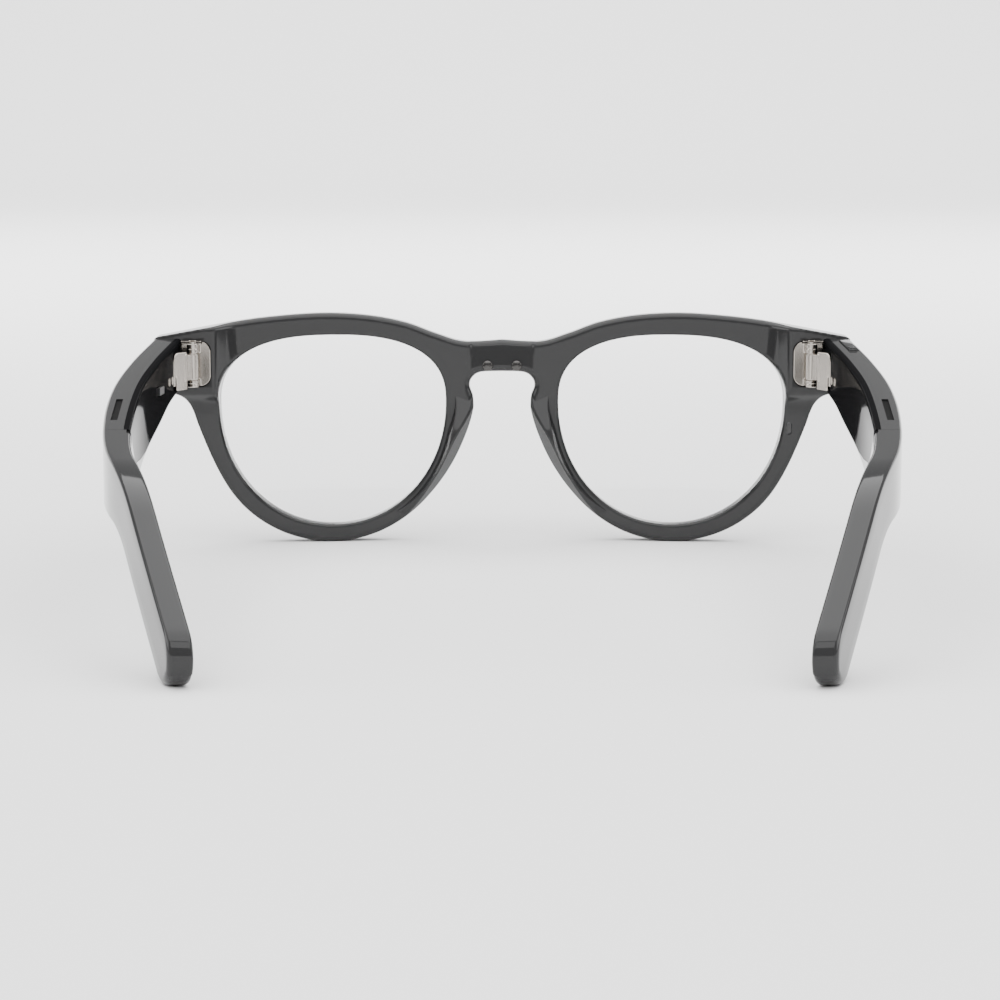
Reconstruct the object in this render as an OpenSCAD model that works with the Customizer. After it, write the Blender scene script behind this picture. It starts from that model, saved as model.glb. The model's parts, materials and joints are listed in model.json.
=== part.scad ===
// Smart glasses: a two-shell front with glazed rims, barrel hinges without springs and two hollow
// temples that carry the electronics. +X is the wearer's left, +Y is towards the wearer and +Z is up.
// The glasses stand open on a table, on the two rims and the two temple tips.

/* [Lenses] */
// Width of each lens opening
eye_w = 48.6; // [45:0.2:52]
// Height of an opening above its widest line
eye_up = 14.5; // [12:0.1:17]
// Height of an opening below its widest line
eye_down = 26.9; // [22:0.1:31]
// Distance between the middles of the two openings
eye_pitch = 73; // [69:0.5:78]
// Thickness of a lens
lens_t = 1.8; // [1.2:0.1:2.2]
// Radius of a lens's middle surface
lens_r = 180; // [150:5:400]
// Depth of the groove that holds a lens
groove = 0.8; // [0.5:0.1:1.2]

/* [Front] */
// Width over the two endpieces
front_w = 148.6; // [142:0.2:160]
// Thickness of the front
front_t = 4.4; // [3.8:0.1:5.4]
// Radius of the wrap around the face
wrap_r = 420; // [300:10:600]
// Width of a rim below its opening
rim_w = 3.75; // [3:0.05:5]
// Height of the brow above an opening
brow_h = 4.7; // [4.2:0.1:6]
// Height of the bridge at its middle
bridge_h = 6.8; // [5.5:0.1:8.5]
// How far the bridge's top lies below the brow's top
bridge_dip = 6; // [4.5:0.1:7]
// Narrowest width between the nose pads
nose_w = 12.2; // [10:0.2:15]
// Widest width of the keyhole under the bridge
keyhole_w = 14; // [11:0.2:16]
// Height of an endpiece
end_h = 11.2; // [10.8:0.1:13]
// Place of the endpieces' back faces behind the middle of the bridge
end_y = 10.5; // [10:0.1:14]
// Height that a nose pad stands behind its rim
pad_t = 3.4; // [2:0.1:5]

/* [Temples] */
// Length of a temple along its top, from the hinge to the bend behind the ear
temple_len = 95; // [80:1:120]
// Angle of a temple below the horizontal
droop = 7.5; // [6:0.5:10]
// Angle of the tip below the horizontal
tip_angle = 33; // [26:1:42]
// Radius of the bend behind the ear
bend_r = 45; // [30:1:70]
// Half the height of the tip
tip_r = 5.5; // [4:0.1:6.5]
// Height of a temple at the hinge
root_h = 10.6; // [10:0.1:12]
// Greatest height of a temple
arm_h = 15.2; // [14:0.1:18]
// Thickness of a temple's hollow part
arm_t = 6; // [5.6:0.1:8]
// Thickness of a temple's tip
tip_t = 4.5; // [3.5:0.1:5.5]
// How far a temple bows outwards
bow = 3; // [1:0.1:5]
// How far a tip turns inwards
tip_in = 18.9; // [12:0.1:24]
// Wall of the hollow part
wall = 1.1; // [0.9:0.05:1.3]
// Place of the seam between the cover and the rear arm, from the hinge
seam_s = 75; // [73:0.5:78]

/* [Hinges] */
// Place of a hinge's axis in from the side of the front
axis_in = 8.6; // [8:0.1:9.5]
// Place of a hinge's axis behind the endpiece
axis_back = 2.5; // [2.3:0.1:3.5]
// Radius of a hinge's barrel
barrel_r = 1.2; // [1.1:0.05:1.5]
// Radius of a hinge's pin
pin_r = 0.6; // [0.5:0.05:0.75]
// Height of a hinge's barrel
barrel_h = 9.3; // [8:0.1:9.6]
// Height of the upper knuckle
knuckle_up = 2.1; // [1.5:0.1:2.6]
// Height of the lower knuckle
knuckle_down = 1.5; // [1.2:0.1:2]
// Running clearance between a pin and its leaf
pin_gap = 0.04; // [0.02:0.01:0.08]
// Gap between moving faces
gap = 0.1; // [0.08:0.01:0.2]

/* [Electronics] */
// Diameter of the round windows at the endpieces
window_d = 6.2; // [5:0.1:6.6]
// Diameter of a charging contact
contact_d = 1.8; // [1.2:0.1:2.2]
// Distance between the charging contacts
contact_pitch = 5.8; // [4.6:0.1:7]
// Length of the capture button
button_l = 8.8; // [7:0.1:10]
// Width of the capture button
button_w = 2.2; // [1.8:0.1:2.3]
// Travel of the capture button
button_travel = 0.3; // [0.2:0.05:0.4]
// Length of the power slider's knob
slider_l = 4.6; // [3.5:0.1:6]
// Travel of the power slider
slider_travel = 2; // [1:0.1:2.5]
// Length of a speaker slot
slot_l = 16; // [12:0.5:16.5]
// Width of a speaker slot
slot_w = 1.3; // [1:0.05:1.3]

/* [Hidden] */
$fn = 48;

// Fine steps of splines, openings and the big wrap cylinders
spline_steps = 5;
eye_step = 5;
wrap_fn = 720;
// A cut runs past a surface by this much
past = 1;

// Colours
frame_grey = [0.34, 0.34, 0.35];
cover_grey = [0.22, 0.22, 0.23];
nickel = [0.71, 0.67, 0.63];
glass = [0.85, 0.88, 0.9, 0.4];
dark = [0.08, 0.08, 0.09];
gold = [0.85, 0.7, 0.4];
board_green = [0.1, 0.35, 0.2];
amber = [0.75, 0.45, 0.15];

// Derived heights and places of the front
eye_x = eye_pitch / 2;
wide_z = rim_w + eye_down;
brow_z = wide_z + eye_up + brow_h;
bridge_z = brow_z - bridge_dip;
keyhole_z = bridge_z - bridge_h;
side_x = front_w / 2;
end_drop = 4.6;
end_z = brow_z - end_drop;
end_low = end_z - end_h;
end_in = 13;
end_step = 0.6;
end_slope = 9.5;
nasal_w = eye_x - eye_w / 2 - nose_w / 2;
temporal_w = 5.6;
half_t = front_t / 2;

// Exponents of the rounded-square opening above and below its widest line
eye_n_up = 2.5;
eye_n_down = 2.06;

// Lens seat: how far a lens lies ahead of the rim's middle, and its clearance
lens_ahead = 0.7;
lens_gap = 0.05;

// Hinge
axis_x = side_x - axis_in;
axis_y = end_y + axis_back;
plate_w = 6.8;
plate_in = 5.3;
plate_t = 0.8;
plate_sink = 0.2;
plate_corner = 2.2;
plate_margin = 0.8;
plate_h = end_h - 2 * plate_margin;
plate_z = end_low + plate_margin;
barrel_z = plate_z + 0.1;
mid_z = barrel_z + knuckle_down + gap;
mid_top = barrel_z + barrel_h - knuckle_up - gap;
web_t = 1.5;
leaf_t = 0.9;
leaf_gap = 0.05;
leaf_h = 8;
foot_l = 7;
foot_t = 0.7;
screw_r = 0.45;
head_r = 0.85;
head_t = 0.35;
foot_screws = [2.6, 5.5];
foot_screw_drop = 5.6;

// Camera and light
pod_x = side_x - 6.3;
pod_z = end_low + end_h / 2 + 0.1;
bezel_t = 0.7;
bezel_front = wrap_y(pod_x) - half_t - 0.7;
bezel_l = 2.6;
glass_t = 0.8;
pod_side = 7.6;
pod_back = end_y - plate_sink - plate_t - 0.4;

// Channel for the flex in the brow
channel_drop = 1.2;
channel_h = 1.5;
channel_half = 0.5;
flex_t = 0.2;
board_t = 0.8;
flex_trim = 0.15;

// Temple layout along its top line
arm_y = end_y + gap;
arm_z = end_z - 0.2;
hollow_s = [4, seam_s - 3];
boss_t = 1.1;
boss_low = 0.2;
boss_past = 0.5;
boss_drop = 4;
button_s = 2.2;
slider_s = 21;
battery_s = [28, 49];
board_s = [22, 49];
speaker_s = [51.5, 68.5];
mic_s = [18.5, 70.4];
flex_s = [12.5, 70];
flex_top = 0.2;
flex_w = 1.5;

function wrap_y(x, back = 0) = wrap_r - sqrt(pow(wrap_r - back, 2) - x * x);

// A smooth curve through the points p
function curve_at(a, b, c, d, t) =
    0.5 * (2 * b + (c - a) * t + (2 * a - 5 * b + 4 * c - d) * t * t
        + (3 * b - a - 3 * c + d) * t * t * t);
function spline(p, n = spline_steps) =
    let (last = len(p) - 1)
    concat([for (i = [0:last - 1]) for (k = [0:n - 1])
        curve_at(p[max(i - 1, 0)], p[i], p[i + 1], p[min(i + 2, last)], k / n)], [p[last]]);
function backwards(p) = [for (i = [len(p) - 1:-1:0]) p[i]];
function signed_pow(v, e) = sign(v) * pow(abs(v), e);

// Lens opening, and a point at a distance w outside it
function eye_pt(a) =
    let (up = sin(a) >= 0, n = up ? eye_n_up : eye_n_down, h = up ? eye_up : eye_down)
    [eye_x + eye_w / 2 * signed_pow(cos(a), 2 / n), wide_z + h * signed_pow(sin(a), 2 / n)];
function eye_off(a, w) =
    let (d = eye_pt(a + 0.5) - eye_pt(a - 0.5))
    eye_pt(a) + w * [d[1], -d[0]] / norm(d);
function eye_outline(w) = [for (a = [0:eye_step:359]) eye_off(a, w)];

// Width of a rim by the angle around its opening
rim_widths = spline([[176, nasal_w], [182, nasal_w], [198, rim_w + 0.36 * (nasal_w - rim_w)],
    [215, rim_w - 0.15], [232, rim_w - 0.4], [270, rim_w], [310, rim_w + 0.15],
    [333, rim_w - 0.05], [346, rim_w + 0.25 * (temporal_w - rim_w)], [358, temporal_w]]);
function rim_pt(a) = eye_off(a, lookup(a, rim_widths));

// Brow line: share of half the opening's width from its middle, and the drop from the brow's top
brow_points = concat([[0, bridge_z], [nose_w / 2 + 2, bridge_z - 0.3]],
    [for (p = [[-0.91, 4.5], [-0.64, 2.1], [-0.31, 0.55], [0.07, 0], [0.47, 0.5], [0.88, 1.7]])
        [eye_x + p[0] * eye_w / 2, brow_z - p[1]]],
    [[side_x, end_z]]);
brow = spline(brow_points);
// Underside of the endpiece, and how it runs into the rim
flare = spline([[side_x, end_low], [side_x - 4.9, end_low - 1.2], [side_x - 7, end_low - 3], rim_pt(356)]);
// The keyhole from the nose up to the bridge
keyhole = spline([rim_pt(182), [nose_w / 2 + 0.2, keyhole_z - 5.3], [keyhole_w / 2, keyhole_z - 3.1],
    [keyhole_w / 2 - 0.5, keyhole_z - 1.4], [keyhole_w / 2 - 2.4, keyhole_z - 0.2], [0, keyhole_z]]);
half_front = concat(brow, flare, [for (a = [352:-4:186]) rim_pt(a)], keyhole);
front_outline = concat(half_front,
    [for (i = [len(half_front) - 2:-1:1]) [-half_front[i][0], half_front[i][1]]]);

// Temple side view: the top line by its length s, and a point at a distance d under it
bend_turn = tip_angle - droop;
bend_s = temple_len + bend_r * bend_turn * PI / 180;
function arm_angle(s) = s <= temple_len ? droop
    : min(tip_angle, droop + (s - temple_len) / bend_r * 180 / PI);
bend_from = [arm_y + temple_len * cos(droop), arm_z - temple_len * sin(droop)];
bend_to = bend_from + bend_r * [sin(tip_angle) - sin(droop), cos(tip_angle) - cos(droop)];
// The tip is long enough to stand on the table
tip_len = (bend_to[1] - tip_r * (1 + cos(tip_angle))) / sin(tip_angle);
arm_s = bend_s + tip_len;
function top_pt(s) =
    s <= temple_len ? [arm_y + s * cos(droop), arm_z - s * sin(droop)]
    : s <= bend_s ? bend_from + bend_r * [sin(arm_angle(s)) - sin(droop), cos(arm_angle(s)) - cos(droop)]
    : bend_to + (s - bend_s) * [cos(tip_angle), -sin(tip_angle)];
function under(s, d) = top_pt(s) - d * [sin(arm_angle(s)), cos(arm_angle(s))];
// Height of the temple by the length s
arm_heights = spline([
    [0, root_h], [12, root_h + 0.9], [22, arm_h - 2], [34, arm_h - 0.9], [46, arm_h - 0.3],
    [58, arm_h], [70, arm_h - 0.3], [80, arm_h - 1.4], [temple_len - 3, 2 * tip_r + 1.3],
    [bend_s - 6, 2 * tip_r + 0.2], [arm_s, 2 * tip_r]]);
function arm_high(s) = lookup(s, arm_heights);
tip_mid = under(arm_s, tip_r);
arm_end = tip_mid[0] + tip_r;
reach = arm_end - arm_y;

// Temple plan view: outer edge and thickness
arm_plan = spline([for (p = [
    [0, 0], [0.14, 0.7 * bow], [0.29, bow], [0.455, 0.57 * bow], [0.62, -0.09 * tip_in],
    [0.774, -0.43 * tip_in], [1, -tip_in]]) [arm_y + p[0] * reach, side_x + p[1]]]);
arm_thick = spline([[arm_y - 5, arm_t], [arm_y + 50, arm_t], [arm_y + 75, arm_t - 0.7],
    [arm_y + 100, tip_t + 0.1], [arm_end + 5, tip_t]]);
function out_x(y) = lookup(y, arm_plan);
function in_x(y) = out_x(y) - lookup(y, arm_thick);
function slope_at(y) = atan2(in_x(y + 2) - in_x(y - 2), 4);

// The row's origin is under the middle of the whole object
mid_y = (arm_end - half_t) / 2;
module place() {
    translate([0, -mid_y, 0]) children();
}

module prism_y(from, to) {
    translate([0, to, 0]) rotate([90, 0, 0]) linear_extrude(to - from) children();
}
module rounded(w, h, r) {
    square([w - 2 * r, h], center = true);
    square([w, h - 2 * r], center = true);
    for (x = [-1, 1], y = [-1, 1]) translate([x * (w / 2 - r), y * (h / 2 - r)]) circle(r);
}
module rod_y(x, z, from, to, r) {
    translate([x, from, z]) rotate([-90, 0, 0]) cylinder(h = to - from, r = r);
}
module box(low, high) {
    translate(low) cube(high - low);
}
module other_side() {
    mirror([1, 0, 0]) children();
}
module both_sides() {
    children();
    mirror([1, 0, 0]) children();
}

// The layer between two distances behind the wrap's middle surface
module wrap_layer(from, to) {
    translate([0, wrap_r, -past]) difference() {
        cylinder(h = brow_z + 2 * past, r = wrap_r - from, $fn = wrap_fn);
        cylinder(h = brow_z + 2 * past, r = wrap_r - to, $fn = wrap_fn);
    }
}
module front_layer(from, to) {
    intersection() {
        prism_y(-half_t - past, end_y + past) polygon(front_outline);
        wrap_layer(from, to);
    }
}

// A lens is cut from a spherical shell whose middle follows the rim
lens_turn = asin(eye_x / wrap_r);
module lens_shape(clear = 0) {
    shell_x = eye_x - lens_r * sin(lens_turn);
    shell_y = wrap_y(eye_x) - lens_ahead + lens_r * cos(lens_turn);
    intersection() {
        prism_y(-front_t, end_y + front_t) polygon(eye_outline(groove + clear));
        translate([shell_x, shell_y, wide_z + (eye_up - eye_down) / 2]) difference() {
            sphere(lens_r + lens_t / 2 + clear, $fn = 240);
            sphere(lens_r - lens_t / 2 - clear, $fn = 240);
        }
    }
}
module openings() {
    both_sides() {
        prism_y(-front_t, end_y + front_t) polygon(eye_outline(0));
        lens_shape(lens_gap);
    }
}

module channel_band(trim = 0) {
    half = [for (p = brow) if (p[0] < pod_x) p];
    line = concat([for (p = backwards(half)) [-p[0], p[1]]], [for (i = [1:len(half) - 1]) half[i]]);
    prism_y(-half_t, end_y) polygon(concat([for (p = line) p - [0, channel_drop + trim]],
        [for (p = backwards(line)) p - [0, channel_drop + channel_h - trim]]));
}
module pod_room() {
    rod_y(pod_x, pod_z, -half_t, bezel_front + bezel_l, window_d / 2 + bezel_t);
    box([pod_x - pod_side / 2 - gap, bezel_front + bezel_l, pod_z - pod_side / 2 - gap],
        [pod_x + pod_side / 2 + gap, pod_back + gap, pod_z + pod_side / 2 + gap]);
}
module plate_outline(grow = 0) {
    translate([axis_x - plate_in + plate_w / 2 + 1.8, plate_z + plate_h / 2])
        rounded(plate_w + 2 * grow, plate_h + 2 * grow, plate_corner);
}
module plate_screw_holes(r) {
    for (z = [0.25, 0.75])
        rod_y(plate_screw_x, plate_z + z * plate_h, pod_back + gap, end_y, r);
}
plate_screw_x = axis_x + 2.1;

// Contacts and microphone in the bridge
contact_z = keyhole_z + 1.3;
contact_front = half_t - 1;
contact_proud = 0.35;
mic_w = 3;
mic_h = 2;
mic_t = 1.2;
mic_z = keyhole_z + 1.6;
port_r = 0.4;

// Light window on the back of the right rim
light_z = wide_z - 5.4;
light_x = rim_pt(347)[0] - 2.6;
light_w = 1.2;
light_h = 2.6;
light_y = wrap_y(light_x) + half_t;
light_sink = 0.1;
light_seat = 0.6;
led_depth = 1.5;
led_half_w = 0.5;
led_half_h = 0.9;

module front_shell() place() color(frame_grey) difference() {
    front_layer(-half_t, 0);
    openings();
    both_sides() pod_room();
    intersection() {
        channel_band();
        wrap_layer(-channel_half, channel_half);
    }
}
module rear_shell() place() color(frame_grey) difference() {
    union() {
        front_layer(0, half_t);
        both_sides() intersection() {
            prism_y(-half_t, end_y) polygon(front_outline);
            translate([0, wrap_r, -past]) cylinder(h = brow_z + 2 * past, r = wrap_r, $fn = wrap_fn);
            linear_extrude(brow_z) polygon([[side_x - end_in - end_slope, 0], [side_x - end_in, end_y],
                [side_x + past, end_y], [side_x + past, 0]]);
            rotate([90, 0, 90]) linear_extrude(side_x + past) polygon([[0, end_low - end_step - end_slope],
                [end_y, end_low - end_step], [end_y, brow_z], [0, brow_z]]);
        }
    }
    openings();
    both_sides() {
        pod_room();
        prism_y(end_y - plate_t - plate_sink, end_y + past) plate_outline(gap / 2);
        plate_screw_holes(screw_r);
    }
    intersection() {
        channel_band();
        wrap_layer(-channel_half, channel_half);
    }
    both_sides() rod_y(contact_pitch / 2, contact_z, contact_front, half_t + past, contact_d / 2);
    box([-mic_w / 2, channel_half, mic_z], [mic_w / 2, channel_half + mic_t, mic_z + mic_h]);
    translate([0, channel_half + mic_t / 2, keyhole_z - past])
        cylinder(h = mic_z - keyhole_z + 2 * past, r = port_r);
    other_side() light_room();
}
module light_outline() translate([light_x, light_z]) rounded(light_w, light_h, light_w / 2 - 0.01);
module led_body() box([light_x - led_half_w, light_y - led_depth, light_z - led_half_h],
    [light_x + led_half_w, light_y - light_seat, light_z + led_half_h]);
module light_room() {
    prism_y(light_y - light_seat, light_y + past) light_outline();
    led_body();
}
module status_window() place() color(dark) other_side()
    prism_y(light_y - light_seat, light_y - light_sink) light_outline();
module status_led() place() color(amber) other_side() led_body();

module lens_left() place() color(glass) lens_shape();
module lens_right() place() color(glass) other_side() lens_shape();

// A nose pad is a wedge on the back of the rim's nasal edge
pad_angles = [178, 238];
// Beside the keyhole, above this angle, a pad draws back from the edge by this much per degree
pad_clear = [182, 0.08];
pad_w = 4;
pad_w_low = 2.2;
module pad_shape() {
    edge = [for (a = [pad_angles[0]:4:pad_angles[1]]) a];
    outer = [for (a = edge) eye_off(a, lookup(a, rim_widths) - pad_clear[1] * max(0, pad_clear[0] - a))];
    inner = [for (a = edge)
        let (t = (a - pad_angles[0]) / (pad_angles[1] - pad_angles[0]))
        eye_off(a, lookup(a, rim_widths) - pad_w * (1 - t) - pad_w_low * t)];
    top = outer[0][1];
    low = outer[len(outer) - 1][1];
    middle = half_t + pad_t;
    run = top - low;
    rise = spline([[0, top + 1.5], [half_t, top], [half_t + 0.45 * pad_t, top - 0.15 * run],
        [half_t + 0.85 * pad_t, top - 0.29 * run], [middle, top - 0.42 * run],
        [half_t + 0.8 * pad_t, top - 0.66 * run], [half_t + 0.1, low]]);
    intersection() {
        prism_y(0, end_y) polygon(concat(outer, backwards(inner)));
        rotate([90, 0, 90]) linear_extrude(eye_x) polygon(concat(rise, [[0, low]]));
        translate([0, wrap_r, 0]) cylinder(h = brow_z, r = wrap_r - half_t, $fn = wrap_fn);
    }
}
module nose_pad_left() place() color(frame_grey) pad_shape();
module nose_pad_right() place() color(frame_grey) other_side() pad_shape();

// Round window, its bezel and the module behind it, at an endpiece
module pod_window() rod_y(pod_x, pod_z, bezel_front + 0.5, bezel_front + 0.5 + glass_t, window_d / 2);
module pod_bezel() difference() {
    rod_y(pod_x, pod_z, bezel_front, bezel_front + bezel_l, window_d / 2 + bezel_t);
    rod_y(pod_x, pod_z, bezel_front - past, bezel_front + 0.5 + glass_t, window_d / 2);
    rod_y(pod_x, pod_z, bezel_front, bezel_front + bezel_l + past, window_d / 2 - 0.5);
}
module pod_core(r) {
    rod_y(pod_x, pod_z, bezel_front + 1 + glass_t, bezel_front + bezel_l + 0.4, r);
    box([pod_x - pod_side / 2, bezel_front + bezel_l + 0.4, pod_z - pod_side / 2],
        [pod_x + pod_side / 2, pod_back, pod_z + pod_side / 2]);
}
module camera_window() place() color(glass) pod_window();
module camera_bezel() place() color(dark) pod_bezel();
module camera_module() place() color(dark) pod_core(2.4);
module led_window() place() color(glass) other_side() pod_window();
module led_bezel() place() color(dark) other_side() pod_bezel();
module led_module() place() color(amber) other_side() pod_core(1.4);

module charging_contacts() place() color(gold) both_sides()
    rod_y(contact_pitch / 2, contact_z, contact_front, half_t + contact_proud, contact_d / 2);
module bridge_microphone() place() color(nickel)
    box([-mic_w / 2, channel_half, mic_z], [mic_w / 2, channel_half + mic_t, mic_z + mic_h]);
module front_flex() place() color(amber) intersection() {
    channel_band(flex_trim);
    wrap_layer(channel_half - flex_t, channel_half);
    box([gap + pod_side / 2 - pod_x, -half_t, 0], [pod_x - pod_side / 2 - gap, end_y, brow_z]);
}

// Hinge: a recessed plate with two knuckles, a pin, and a leaf with the long middle knuckle
module knuckle(low, high, bore) {
    difference() {
        translate([axis_x, axis_y, low]) cylinder(h = high - low, r = barrel_r);
        translate([axis_x, axis_y, low - past]) cylinder(h = high - low + 2 * past, r = bore);
    }
}
module hinge_plate() difference() {
    union() {
        prism_y(end_y - plate_sink - plate_t, end_y - plate_sink) plate_outline();
        for (k = [[barrel_z, barrel_z + knuckle_down],
            [barrel_z + barrel_h - knuckle_up, barrel_z + barrel_h]]) {
            translate([axis_x, axis_y, k[0]]) cylinder(h = k[1] - k[0], r = barrel_r);
            box([axis_x - barrel_r, end_y - plate_sink - plate_t / 2, k[0]],
                [axis_x - barrel_r + web_t, axis_y, k[1]]);
        }
    }
    translate([axis_x, axis_y, barrel_z - past]) cylinder(h = barrel_h + 2 * past, r = pin_r);
    plate_screw_holes(screw_r);
    for (z = [0.25, 0.75])
        rod_y(plate_screw_x, plate_z + z * plate_h, end_y - plate_sink - head_t, end_y, head_r);
}
module plate_screws() {
    for (z = [0.25, 0.75]) {
        rod_y(plate_screw_x, plate_z + z * plate_h, pod_back + gap, end_y - plate_sink - head_t, screw_r);
        rod_y(plate_screw_x, plate_z + z * plate_h, end_y - plate_sink - head_t, end_y - plate_sink,
            head_r);
    }
}
module hinge_pin() {
    translate([axis_x, axis_y, barrel_z]) cylinder(h = barrel_h + 0.2, r = pin_r);
    translate([axis_x, axis_y, barrel_z + barrel_h]) cylinder(h = 0.35, r = pin_r + 0.25);
}
module hinge_plate_left() place() color(nickel) hinge_plate();
module hinge_plate_right() place() color(nickel) other_side() hinge_plate();
module hinge_plate_screws_left() place() color(nickel) plate_screws();
module hinge_plate_screws_right() place() color(nickel) other_side() plate_screws();
module hinge_pin_left() place() color(nickel) hinge_pin();
module hinge_pin_right() place() color(nickel) other_side() hinge_pin();

// Places on the temple: on its inner face by y, and on its top line by s
foot_y = arm_y + 6.6;
foot_turn = slope_at(foot_y + foot_l / 2);
module at_inner(y, z) {
    translate([in_x(y), y, z]) rotate([0, 0, -slope_at(y)]) children();
}
module at_top(s, in = 0) {
    p = top_pt(s);
    translate([out_x(p[0]) - in, p[0], p[1]]) rotate([-arm_angle(s), 0, 0]) children();
}
leaf_z = mid_z - 1.9;
leaf_from = [axis_x + 0.1, axis_y + 0.5];
leaf_to = [in_x(foot_y) + 0.1, foot_y + 0.4];
// The web behind the long knuckle starts inside the barrel's wall, clear of the pin's bore
web_from = 0.4;
web_past = 1.2;
web_step = 0.05;
leaf_turn = atan2(leaf_to[1] - leaf_from[1], leaf_to[0] - leaf_from[0]);
leaf_dir = [cos(leaf_turn), sin(leaf_turn)];
foot_dir = [sin(foot_turn), cos(foot_turn)];
// The foot stands a little proud of the temple's inner face
foot_proud = 0.15;
function cross2(a, b) = a[0] * b[1] - a[1] * b[0];
function meet(p, d, q, e) = p + d * cross2(q - p, e) / cross2(d, e);
function right_of(d) = [d[1], -d[0]];
// Plan outline of the bent strip that is the leaf and its foot
module leaf_outline(grow = 0) {
    side = (leaf_t / 2 + grow) * right_of(leaf_dir);
    start = leaf_from + (barrel_r + 0.7) * leaf_dir;
    foot = [in_x(foot_y), foot_y];
    near = foot - (foot_proud + grow) * right_of(foot_dir);
    far = foot + foot_t * right_of(foot_dir);
    end = (foot_l + grow) * foot_dir;
    polygon([start + side, meet(start + side, leaf_dir, far, foot_dir), far + end, near + end,
        meet(start - side, leaf_dir, near, foot_dir), start - side]);
}
module leaf_strip(grow = 0) {
    translate([0, 0, leaf_z - grow]) linear_extrude(leaf_h + 2 * grow) leaf_outline(grow);
}
module leaf_place() translate([leaf_from[0], leaf_from[1], 0]) rotate([0, 0, leaf_turn]) children();
module foot_place() translate([in_x(foot_y), foot_y, 0]) rotate([0, 0, -foot_turn]) children();
module foot_holes(from, to, r) {
    for (d = foot_screws)
        translate([from, d, leaf_z + leaf_h - foot_screw_drop])
            rotate([0, 90, 0]) cylinder(h = to - from, r = r);
}
module hinge_leaf() difference() {
    union() {
        translate([axis_x, axis_y, mid_z]) cylinder(h = mid_top - mid_z, r = barrel_r);
        leaf_place() box([web_from, web_step - leaf_t / 2, mid_z],
            [barrel_r + web_past, leaf_t / 2 - web_step, mid_top]);
        leaf_strip();
    }
    translate([axis_x, axis_y, mid_z - past]) cylinder(h = mid_top - mid_z + 2 * past, r = pin_r + pin_gap);
    foot_place() {
        foot_holes(-past, foot_t + past, screw_r);
        foot_holes(-past, head_t - foot_proud, head_r);
    }
}
module leaf_screws() foot_place() {
    foot_holes(head_t - foot_proud, foot_t + boss_t, screw_r);
    foot_holes(-foot_proud, head_t - foot_proud, head_r);
}

// A block of the temple: between two lengths s, two depths and two side insets
function side_band(s0, s1, a, b, from_top) =
    let (n = ceil((s1 - s0) / 4), line = [for (i = [0:n]) s0 + (s1 - s0) * i / n])
    concat([for (s = line) under(s, a)],
        [for (s = backwards(line)) under(s, from_top ? b : arm_high(s) - b)]);
function plan_band(out_in, in_in, from_out) =
    let (line = [for (i = [0:48]) arm_y + i / 48 * (arm_end + past - arm_y)])
    concat([for (y = line) [out_x(y) - out_in, y]],
        [for (y = backwards(line)) [from_out ? out_x(y) - in_in : in_x(y) + in_in, y]]);
function inner_band(near, far) =
    let (line = [for (i = [0:48]) arm_y - past + i / 48 * (arm_end + 2 * past - arm_y)])
    concat([for (y = line) [in_x(y) + far, y]], [for (y = backwards(line)) [in_x(y) + near, y]]);
module side_prism(points) {
    translate([side_x - 2 * tip_in, 0, 0]) rotate([90, 0, 90]) linear_extrude(3 * tip_in) polygon(points);
}
module arm_block(s0, s1, a, b, out_in, in_in, from_top = false, from_out = false) {
    intersection() {
        side_prism(side_band(s0, s1, a, b, from_top));
        linear_extrude(end_z + past) polygon(plan_band(out_in, in_in, from_out));
    }
}
tip_cap = [for (a = [90 - tip_angle:-9:-90 - tip_angle]) tip_mid + tip_r * [cos(a), sin(a)]];
module arm_body() {
    line = [for (s = [0:5:temple_len]) s];
    bend = [for (s = [temple_len + 2.5:2.5:bend_s]) s];
    whole = concat(line, bend);
    intersection() {
        side_prism(concat([for (s = whole) under(s, 0)], tip_cap,
            [for (s = backwards(whole)) under(s, arm_high(s))]));
        linear_extrude(end_z + past) polygon(plan_band(0, 0, false));
    }
}
module hollow() arm_block(hollow_s[0], hollow_s[1], wall, wall, wall, wall);
// The cover is a plate in the inner face, and its rear end slants forwards from the seam at the top
cover_t = 1.3;
cover_end = [[0, 0], [10, 0.58], [11, 0.63], [13, 0.67], [25, 0.84]];
cover_low_s = seam_s - 34;
cover_side = concat([for (s = [-5:5:seam_s - 1]) under(s, -past)],
    [for (e = cover_end) under(seam_s - e[0], e[1] * arm_high(seam_s - e[0]))],
    [for (s = [cover_low_s:-4:-5]) under(s, arm_high(s) - wall)]);
module cover_zone() intersection() {
    side_prism(cover_side);
    linear_extrude(end_z + past) polygon(inner_band(-past, cover_t));
}
// Everything behind the seam
module rear_zone() arm_block(seam_s, arm_s + 10, -past, -past, -past, -past);
// Vent between the cover's top rear corner and the rear arm
vent_l = 2.2;
vent_h = 2.2;
vent_w = 0.8;
module vent() intersection() {
    side_prism([under(seam_s - past, -past), under(seam_s + vent_l, -past),
        under(seam_s + vent_l, vent_h), under(seam_s - past, vent_h)]);
    linear_extrude(end_z + past) polygon(inner_band(-past, vent_w));
}
module hinge_boss() foot_place() box([0, -past / 2, leaf_z - boss_low],
    [foot_t + boss_t, foot_l + boss_past, leaf_z + leaf_h - boss_drop]);

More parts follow.
